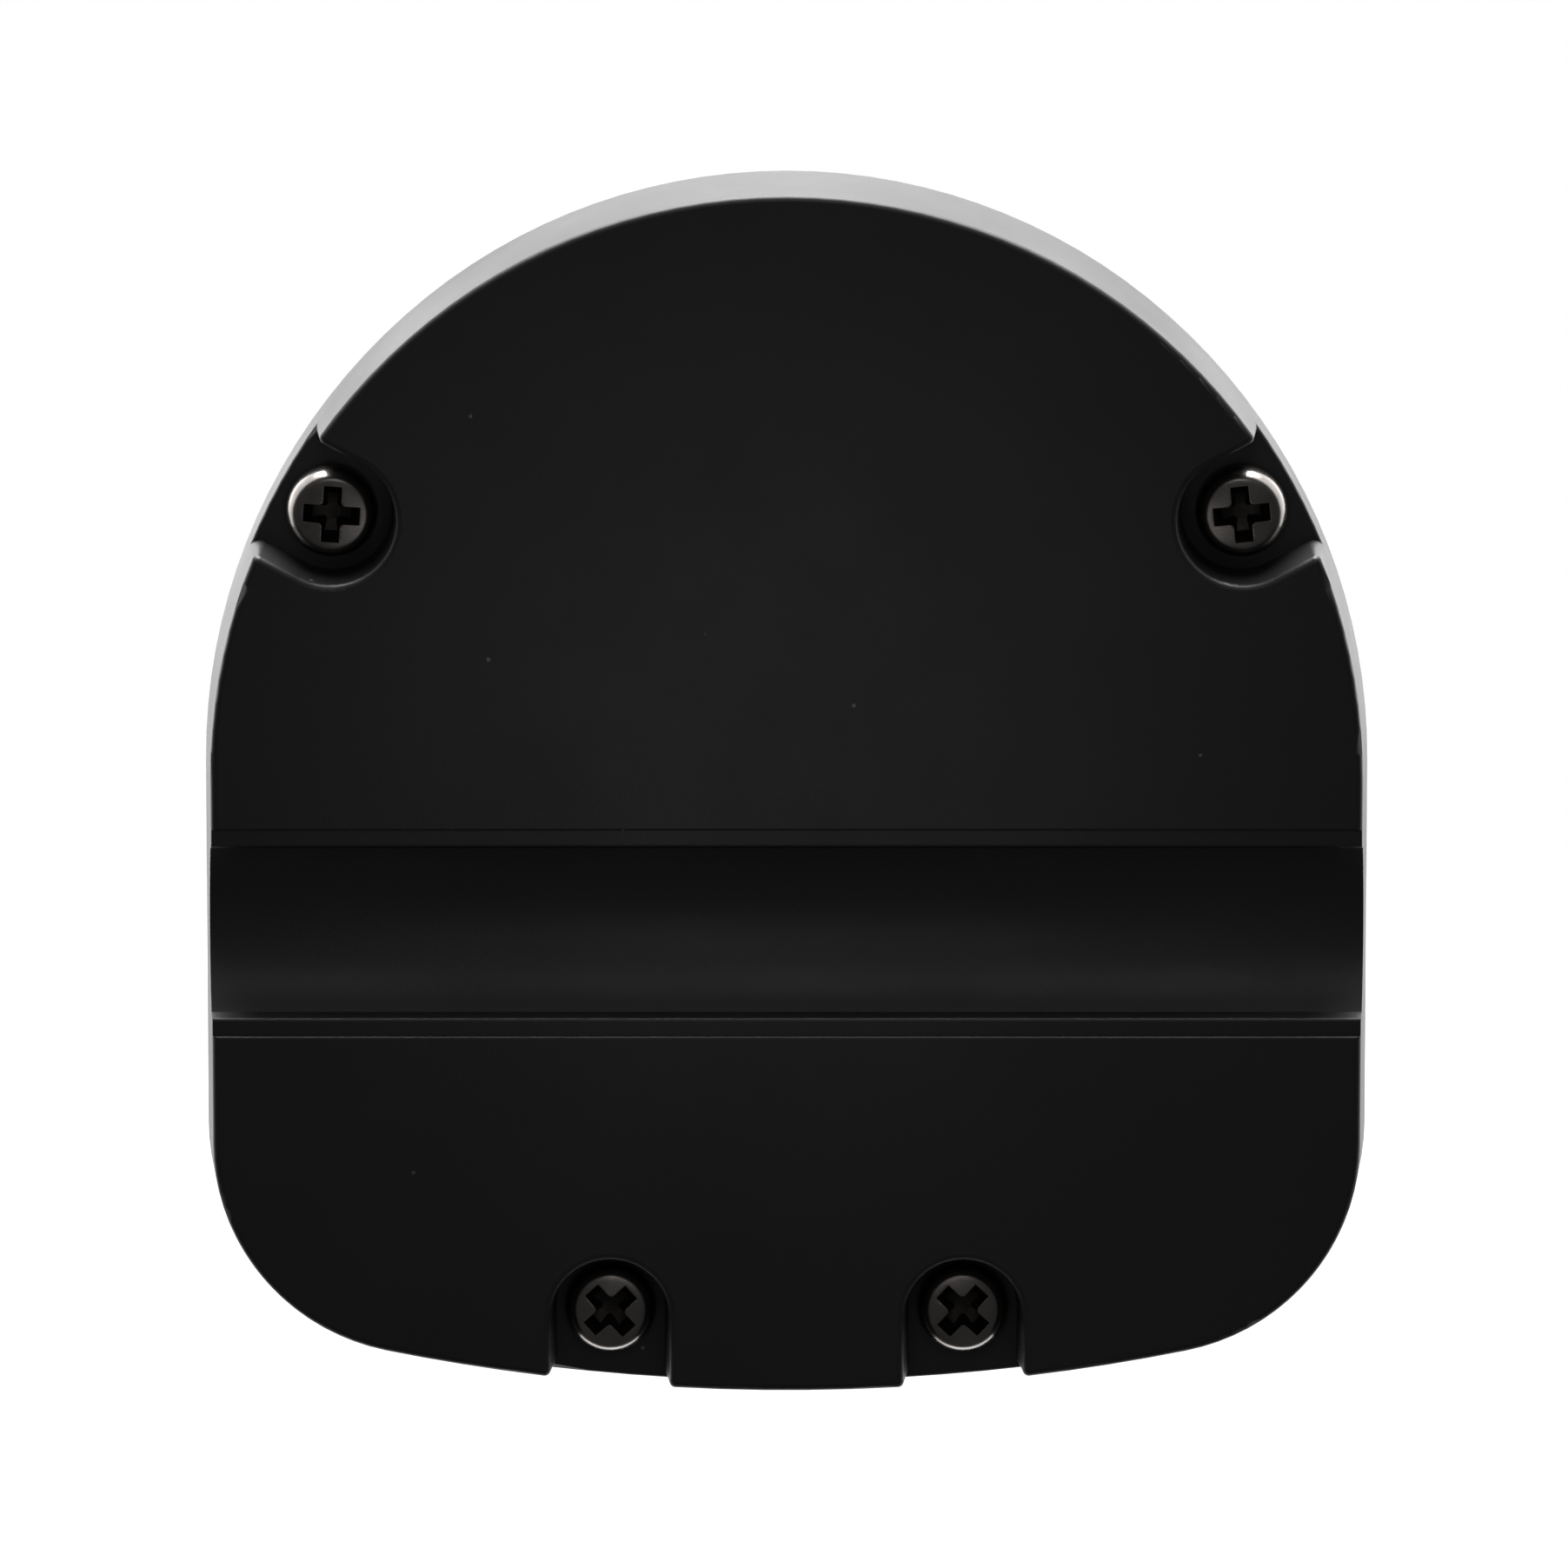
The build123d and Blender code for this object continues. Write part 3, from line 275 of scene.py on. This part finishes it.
HEAD_SIDES = 64
HEAD_SHARE = 0.985  # a detailed head's height, as a share of the CAD head's, so that it stays inside it
SHANK_SHARE = 0.995
SHOULDER_WIDTH = 0.3  # the shoulder's width, as a share of the head's radius
SHOULDER_HEIGHT = 0.74  # and its height, as a share of the head's
SHOULDER_STEPS = 14
SHOULDER_END = 84  # degrees that the shoulder turns through before the domed top takes over
THREAD_ROOT = 0.83  # the root's radius, as a share of the crest's
THREAD_ROWS = 7  # rows of points in each pitch
RECESS_SHADE_FACES, TOP_FACES = 1, 2  # material slots of a screw, after the body's own


def islands(node):
    """The lowest and highest corners of each separate solid in a CAD node."""
    mesh = bmesh.new()
    mesh.from_mesh(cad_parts[node].data)
    left, found = set(mesh.verts), []
    while left:
        front = [left.pop()]
        group = list(front)
        while front:
            for edge in front.pop().link_edges:
                for vert in edge.verts:
                    if vert in left:
                        left.remove(vert)
                        front.append(vert)
                        group.append(vert)
        spots = [vert.co for vert in group]
        low = Vector([min(spot[axis] for spot in spots) for axis in range(3)])
        high = Vector([max(spot[axis] for spot in spots) for axis in range(3)])
        found.append((low, high))
    mesh.free()
    return sorted(found, key=lambda box: tuple(round(value, 4) for value in box[0]))


def merged_boxes(boxes, slack=0.01 * MM):
    """Boxes that overlap, joined, so that a CAD mesh with unwelded faces still gives one box a solid."""
    joined = []
    for low, high in boxes:
        for other_low, other_high in joined:
            if all(low[a] <= other_high[a] + slack and high[a] >= other_low[a] - slack for a in range(3)):
                for a in range(3):
                    other_low[a] = min(other_low[a], low[a])
                    other_high[a] = max(other_high[a], high[a])
                break
        else:
            joined.append((low.copy(), high.copy()))
    return joined if len(joined) == len(boxes) else merged_boxes(joined)


def turned(mesh, profile, sides):
    """Turns a profile of (radius, height) pairs about Z; a radius of 0 closes that end."""
    loops = []
    for radius, height in profile:
        if radius == 0:
            loops.append([mesh.verts.new((0, 0, height))])
            continue
        angles = [2 * math.pi * k / sides for k in range(sides)]
        loops.append([mesh.verts.new((radius * math.cos(a), radius * math.sin(a), height)) for a in angles])
    for below, above in zip(loops, loops[1:]):
        for k in range(sides):
            j = (k + 1) % sides
            if len(below) == 1:
                mesh.faces.new((below[0], above[j], above[k]))
            elif len(above) == 1:
                mesh.faces.new((below[k], below[j], above[0]))
            else:
                mesh.faces.new((below[k], below[j], above[j], above[k]))


def join_loops(mesh, loops):
    """Skins loops of as many points each, first to last."""
    for before, after in zip(loops, loops[1:]):
        for k in range(len(before)):
            j = (k + 1) % len(before)
            mesh.faces.new((before[k], before[j], after[j], after[k]))


def head_profile(radius, height):
    """A pan head from its underside up: short flank, tall round shoulder, gently domed top."""
    width, tall = radius * SHOULDER_WIDTH, height * SHOULDER_HEIGHT
    flank = height * 0.93 - tall
    points = [(0, 0), (radius * 0.96, 0), (radius * 0.99, height * 0.03), (radius, height * 0.08)]
    points.append((radius, flank))
    for step in range(1, SHOULDER_STEPS + 1):
        turn = math.radians(SHOULDER_END * step / SHOULDER_STEPS)
        points.append((radius - width * (1 - math.cos(turn)), flank + tall * math.sin(turn)))
    rim, rise = points[-1]
    for part in (0.92, 0.8, 0.65, 0.5, 0.25):
        points.append((rim * part, rise + (height - rise) * (1 - part**2)))
    return points + [(0, height)]


def cross_outline(half_length, half_width, ease):
    """The cross of a Phillips recess, its inner corners rounded."""
    points = []
    for quarter in range(4):
        turn = Matrix.Rotation(quarter * math.pi / 2, 2)
        corner = [(half_length, -half_width), (half_length, half_width)]
        for step in range(4):
            bend = math.radians(90 * step / 3)
            centre = half_width + ease
            corner.append((centre - ease * math.sin(bend), centre - ease * math.cos(bend)))
        points += [turn @ Vector(point) for point in corner]
    return points


def cross_cutter(radius, height):
    """The tapered cross that the driver fits, with a pointed bottom."""
    mesh = bmesh.new()
    # shares of the head: level of its height, then half length and half width of its radius
    levels = (
        (1.2, 0.67, 0.215), (1.0, 0.63, 0.2), (0.6, 0.53, 0.17), (0.3, 0.42, 0.14), (0.16, 0.16, 0.1),
    )
    loops = []
    for level, length, width in levels:
        outline = cross_outline(radius * length, radius * width, radius * 0.09)
        loops.append([mesh.verts.new((point.x, point.y, height * level)) for point in outline])
    join_loops(mesh, loops[::-1])
    mesh.faces.new(loops[0])
    mesh.faces.new(loops[-1][::-1])
    return mesh


def to_object(mesh, name):
    """An object in the scene from a bmesh, which is used up."""
    data = bpy.data.meshes.new(name)
    bmesh.ops.recalc_face_normals(mesh, faces=mesh.faces)
    mesh.to_mesh(data)
    mesh.free()
    piece = bpy.data.objects.new(name, data)
    bpy.context.scene.collection.objects.link(piece)
    return piece


def shade_smooth(piece, sharp_from):
    """Smooth shading, broken at edges that turn by more than sharp_from degrees."""
    piece.data.polygons.foreach_set("use_smooth", [True] * len(piece.data.polygons))
    piece.data.set_sharp_from_angle(angle=math.radians(sharp_from))


def baked(piece):
    """The mesh as its modifiers leave it."""
    bpy.context.view_layer.update()
    graph = bpy.context.evaluated_depsgraph_get()
    return bpy.data.meshes.new_from_object(piece.evaluated_get(graph))


def thread_profile_radius(turns, root, crest):
    """Radius of a V-thread with a flat root, from how many pitches a point lies along it."""
    part = turns - math.floor(turns)
    ridge = max(0.0, 1 - abs(part - 0.5) / 0.4)
    return root + (crest - root) * min(1.0, ridge * 1.15)


def add_thread(mesh, crest, pitch, length, sides=24):
    """A threaded shank from the origin down to a chamfered tip."""
    steps = int(length / pitch * THREAD_ROWS)
    loops = []
    for row in range(steps + 1):
        height = -length * row / steps
        loop = []
        for k in range(sides):
            turn = k / sides
            radius = thread_profile_radius(height / pitch + turn, crest * THREAD_ROOT, crest)
            radius = min(radius, crest * 0.6 + (height + length) * 0.9)
            angle = 2 * math.pi * turn
            loop.append(mesh.verts.new((radius * math.cos(angle), radius * math.sin(angle), height)))
        loops.append(loop)
    join_loops(mesh, loops[::-1])
    mesh.faces.new(loops[-1][::-1])
    mesh.faces.new(loops[0])


def screw_mesh(head_radius, head_height, crest, pitch, length):
    """One cross-recessed pan-head screw along +Z, its head's underside at the origin."""
    head = bmesh.new()
    turned(head, head_profile(head_radius, head_height), HEAD_SIDES)
    blank = to_object(head, "screw_blank")
    cutter = to_object(cross_cutter(head_radius, head_height), "screw_cutter")
    cut = blank.modifiers.new("recess", "BOOLEAN")
    cut.operation = "DIFFERENCE"
    cut.solver = "EXACT"
    cut.object = cutter
    ease = blank.modifiers.new("worn_edges", "BEVEL")
    ease.width = head_radius * 0.018
    ease.segments = 2
    ease.angle_limit = math.radians(40)
    head_data = baked(blank)
    for piece in (blank, cutter):
        bpy.data.objects.remove(piece)
    whole = bmesh.new()
    whole.from_mesh(head_data)
    whole.normal_update()
    for face in whole.faces:
        middle = face.calc_center_median()
        # faces that point up on a head take the top material; on the black screws that is a darker copy:
        # painted shade
        if middle.z > 0 and face.normal.z > 0.8:
            face.material_index = TOP_FACES
        # faces inside the cross recess take the near-black recess material: painted shade
        if math.hypot(middle.x, middle.y) < head_radius * 0.68 and 0 < middle.z < head_height * 0.9:
            face.material_index = RECESS_SHADE_FACES
    add_thread(whole, crest, pitch, length)
    return whole


def replace_screws(node, finish, top_finish, facing, head_height, crest, pitch, turns):
    """Puts a detailed screw where each solid of a node is.

    facing is -1 for heads towards the rear, and turns are the degrees that each recess is turned by.
    """
    joined = bmesh.new()
    for index, (low, high) in enumerate(merged_boxes(islands(node))):
        centre = (low + high) / 2
        head_radius = (high.x - low.x) / 2
        length = high.y - low.y - head_height
        seat = low.y + head_height if facing < 0 else high.y - head_height
        screw = screw_mesh(head_radius, head_height * HEAD_SHARE, crest, pitch, length * SHANK_SHARE)
        lay = Matrix.Rotation(math.radians(-90 * facing), 4, "X")
        spin = Matrix.Rotation(math.radians(turns[index]), 4, "Z")
        place = Matrix.Translation((centre.x, seat, centre.z))
        screw.transform(place @ lay @ spin)
        part = bpy.data.meshes.new("part")
        screw.to_mesh(part)
        screw.free()
        joined.from_mesh(part)
        bpy.data.meshes.remove(part)
    piece = to_object(joined, node + "_cut")
    for material in (finish, RECESS_SHADE, top_finish):
        piece.data.materials.append(material)
    shade_smooth(piece, 35)
    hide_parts(node)
    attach(piece, "case")


# node, finishes of body and top (black screws: lighter body, painted highlight; darker top, painted shade),
# slot, facing, then head height, thread radius and pitch in mm, and turns
SCREWS = (
    ("cover_screws", LIT_BLACK_NICKEL, SHADED_NICKEL_TOP, "screw_black", -1, 3.1, 2.0, 0.7, (-4, 42, 47, 6)),
    ("visor_screws", LIT_BLACK_NICKEL, SHADED_NICKEL_TOP, "screw_black", 1, 1.8, 1.05, 0.45, (20, -35)),
    ("light_box_screws", ZINC, ZINC, "screw_zinc", -1, 1.7, 1.2, 0.5, (10, 64, -20)),
    ("board_screws", ZINC, ZINC, "screw_zinc", -1, 1.7, 1.2, 0.5, (15, 70, -12, 33, 52, -40)),
)
for screw_node, body_finish, head_finish, record_slot, side, head, thread, step, angles in SCREWS:
    replace_screws(
        screw_node, body_finish, head_finish, side, head * MM, thread * MM, step * MM, angles
    )


# ---------------------------------------------------------------- the button's return spring

WIRE_RADIUS = 0.4 * MM
WIRE_SIDES = 12
ACTIVE_TURNS = 4
STEPS_A_TURN = 48


def spring_rise(turn, bottom, top):
    """Height of the wire's middle after so many turns; the first and last turn lie closed."""
    closed = WIRE_RADIUS * 2.05
    if turn < 1:
        return bottom + closed * turn
    if turn > ACTIVE_TURNS + 1:
        return top - closed * (ACTIVE_TURNS + 2 - turn)
    return bottom + closed + (top - bottom - 2 * closed) * (turn - 1) / ACTIVE_TURNS


def coil_spring():
    """A compression spring with closed ends, as long as the CAD spring."""
    low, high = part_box("return_spring")
    centre = (low + high) / 2
    radius = (high.x - low.x) / 2 - WIRE_RADIUS
    turns = ACTIVE_TURNS + 2
    mesh = bmesh.new()
    loops = []
    for step in range(STEPS_A_TURN * turns + 1):
        turn = step / STEPS_A_TURN
        rise = spring_rise(turn, low.y + WIRE_RADIUS, high.y - WIRE_RADIUS)
        angle = 2 * math.pi * turn
        loop = []
        for corner in range(WIRE_SIDES):
            around = 2 * math.pi * corner / WIRE_SIDES
            reach = radius + WIRE_RADIUS * math.cos(around)
            x = centre.x + reach * math.cos(angle)
            z = centre.z + reach * math.sin(angle)
            loop.append(mesh.verts.new((x, rise + WIRE_RADIUS * math.sin(around), z)))
        loops.append(loop)
    join_loops(mesh, loops)
    mesh.faces.new(loops[0])
    mesh.faces.new(loops[-1][::-1])
    piece = to_object(mesh, "return_spring_coil")
    piece.data.materials.append(STEEL)
    shade_smooth(piece, 50)
    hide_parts("return_spring")
    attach(piece, "case")
    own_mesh(piece)


coil_spring()


# ---------------------------------------------------------------- small parts on the control board

def bevelled_box(mesh, low, high, ease, index):
    """A box with eased edges, its faces in material slot index."""
    start = len(mesh.faces)
    size = high - low
    made = bmesh.ops.create_cube(mesh, size=1.0)
    bmesh.ops.scale(mesh, vec=size, verts=made["verts"])
    bmesh.ops.translate(mesh, vec=(low + high) / 2, verts=made["verts"])
    edges = {edge for vert in made["verts"] for edge in vert.link_edges}
    bmesh.ops.bevel(mesh, geom=list(edges), offset=ease, segments=2, affect="EDGES")
    mesh.faces.ensure_lookup_table()
    for face in mesh.faces[start:]:
        face.material_index = index


COLUMNS, ROWS = 15, 12
COLUMN_PITCH, ROW_PITCH = 4.0, 4.6  # millimetres, as are the other sizes of the small parts
FIRST_COLUMN, FIRST_ROW = 3.2, 3.6
CHIP_LENGTH, CHIP_WIDTH = 1.6, 0.84
CHIP_HEIGHTS = (0.45, 0.55, 0.8)
CHIP_CAP = 0.3
CAP_PROUD = 0.02
CLEAR = 1.6
BOARD_EDGE_X, BOARD_EDGE_Z = 3.0, 4.0
NEIGHBOURS = ("microcontroller", "power_capacitors", "relay", "terminal_block", "switch_body", "board_screws")


def add_chip(mesh, x, z, rear, tall, along_x):
    """A ceramic chip with two tinned caps, standing tall from the board's rear face."""
    half_x, half_z = (CHIP_LENGTH / 2, CHIP_WIDTH / 2) if along_x else (CHIP_WIDTH / 2, CHIP_LENGTH / 2)
    half = Vector((half_x, 0, half_z)) * MM
    low = Vector((x - half.x, rear - tall, z - half.z))
    high = Vector((x + half.x, rear, z + half.z))
    cap = Vector((CHIP_CAP, 0, 0) if along_x else (0, 0, CHIP_CAP)) * MM
    first_end = high.copy()
    last_start = low.copy()
    if along_x:
        first_end.x = low.x + cap.x
        last_start.x = high.x - cap.x
    else:
        first_end.z = low.z + cap.z
        last_start.z = high.z - cap.z
    proud = Vector((0, CAP_PROUD, 0)) * MM
    bevelled_box(mesh, low + cap, high - cap, 0.04 * MM, 0)
    bevelled_box(mesh, low - proud, first_end, 0.05 * MM, 1)
    bevelled_box(mesh, last_start - proud, high, 0.05 * MM, 1)


def add_passives():
    """Rows of chip resistors and capacitors on the board's rear, clear of everything else on it."""
    draw = random.Random(7)
    board_low, board_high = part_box("control_board")
    taken = [box for node in NEIGHBOURS for box in merged_boxes(islands(node))]
    clear = CLEAR * MM
    mesh = bmesh.new()
    for column in range(COLUMNS):
        for row in range(ROWS):
            x = board_low.x + (FIRST_COLUMN + COLUMN_PITCH * column + draw.uniform(-0.4, 0.4)) * MM
            z = board_low.z + (FIRST_ROW + ROW_PITCH * row + draw.uniform(-0.5, 0.5)) * MM
            along_x = draw.random() < 0.6
            tall = draw.choice(CHIP_HEIGHTS) * MM
            skip = draw.random() < 0.45
            near = any(
                low.x - clear < x < high.x + clear and low.z - clear < z < high.z + clear
                for low, high in taken
            )
            edge = x > board_high.x - BOARD_EDGE_X * MM or z > board_high.z - BOARD_EDGE_Z * MM
            if not (skip or near or edge):
                add_chip(mesh, x, z, board_low.y, tall, along_x)
    piece = to_object(mesh, "board_passives")
    piece.data.materials.append(plastic("passive_ceramic", (0.11, 0.075, 0.05), 0.4))
    piece.data.materials.append(metal("tinned_ends", (0.6, 0.6, 0.58), 0.3))
    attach(piece, "case")


add_passives()


# ---------------------------------------------------------------- studio

VIEW_ELEVATION = 10.0  # degrees
VIEW_DISTANCE = 1.2
FRAME_WIDTH = 0.1361  # what the picture spans at the distance of the rear face
SENSOR = 36.0
AIM = Vector((-0.00023, REAR_Y, 0.05478))


def make_camera():
    """The photograph's view: square on to the rear face and a little from above, with a long lens."""
    data = bpy.data.cameras.new("camera")
    data.sensor_width = SENSOR
    data.lens = SENSOR * VIEW_DISTANCE / FRAME_WIDTH
    data.clip_start = 0.01
    data.clip_end = 20
    camera = bpy.data.objects.new("camera", data)
    bpy.context.scene.collection.objects.link(camera)
    tilt = math.radians(VIEW_ELEVATION)
    camera.location = AIM + VIEW_DISTANCE * Vector((0, -math.cos(tilt), math.sin(tilt)))
    camera.rotation_euler = (math.pi / 2 - tilt, 0, 0)
    bpy.context.scene.camera = camera


DIM = 0.115  # light from the camera's side
SURROUND = 1.35  # and what is added from all round the object
BACK_PANEL = 1.9  # and from far behind it
FROM_ABOVE = 0.3  # how far the surround leans over the object


def make_world():
    """White to the camera; as light, dim on the camera's side, bright all round and brightest far behind."""
    world = bpy.data.worlds.new("studio")
    world.use_nodes = True
    tree = world.node_tree
    tree.nodes.clear()

    def add(kind, inputs=None, **settings):
        return add_node(tree, kind, inputs, **settings)

    def math_node(operation, *values):
        return add("ShaderNodeMath", dict(enumerate(values)), operation=operation).outputs[0]

    def rise(value, low, high, top):
        inputs = {"Value": value, "From Min": low, "From Max": high, "To Min": 0.0, "To Max": top}
        return add("ShaderNodeMapRange", inputs, interpolation_type="SMOOTHSTEP").outputs["Result"]

    place = add("ShaderNodeTexCoord").outputs["Generated"]
    split = add("ShaderNodeSeparateXYZ", {"Vector": place}).outputs
    forward = split["Y"]
    lean = math_node("MULTIPLY_ADD", split["Z"], FROM_ABOVE, forward)
    around = rise(lean, -0.08, 0.27, SURROUND)
    ahead = rise(forward, 0.4, 0.85, BACK_PANEL)
    above_floor = rise(split["Z"], -0.26, -0.04, 1.0)
    panel = math_node("MULTIPLY", ahead, above_floor)
    level = math_node("ADD", math_node("ADD", around, panel), DIM)
    lit = add("ShaderNodeBackground", {"Strength": level}).outputs[0]
    seen = add("ShaderNodeBackground", {"Color": (1, 1, 1, 1), "Strength": 1.0}).outputs[0]
    camera_ray = add("ShaderNodeLightPath").outputs["Is Camera Ray"]
    mixed = add("ShaderNodeMixShader", {0: camera_ray, 1: lit, 2: seen}).outputs[0]
    add("ShaderNodeOutputWorld", {"Surface": mixed})
    bpy.context.scene.world = world


FLOOR_RADIUS = 1.3
FLOOR_BEHIND = 1.4
FLOOR_DROP = 0.45


def make_floor():
    """A plain pale floor well below the unit, which a stem carries, and behind it."""
    bpy.ops.mesh.primitive_circle_add(
        vertices=128, radius=FLOOR_RADIUS, fill_type="NGON", location=(0, FLOOR_BEHIND, -FLOOR_DROP)
    )
    floor = bpy.context.object
    floor.name = "floor"
    m = Nodes("pale_floor")
    soft = m.noise(3, 2)
    pale = m.mix(m.span(soft, 0.3, 0.7, 0, 1), (0.26, 0.26, 0.26, 1), (0.24, 0.24, 0.24, 1))
    floor.data.materials.append(m.set(color=pale, rough=0.9, glow=(1, 1, 1, 1), glow_strength=0.9))


def area_light(name, place, aim, size, power):
    """A soft round light, its size in metres and its power in watts."""
    data = bpy.data.lights.new(name, "AREA")
    data.shape = "DISK"
    data.size = size
    data.energy = power
    light = bpy.data.objects.new(name, data)
    light.location = place
    light.rotation_euler = (Vector(aim) - Vector(place)).to_track_quat("-Z", "Y").to_euler()
    light.visible_camera = False
    bpy.context.scene.collection.objects.link(light)


make_camera()
make_world()
make_floor()
area_light("overhead", (0, 0.3, 1.0), (0, 0, 0.06), 1.0, 24)
area_light("upper_front", (0, -0.95, 0.72), (0, 0, 0.06), 0.36, 0.5)
area_light("plate_glow", (-0.002, REAR_Y - 0.1, 0.0476), (-0.002, 0, 0.0652), 0.06, 0.0042)

bpy.context.scene.view_settings.view_transform = "Standard"
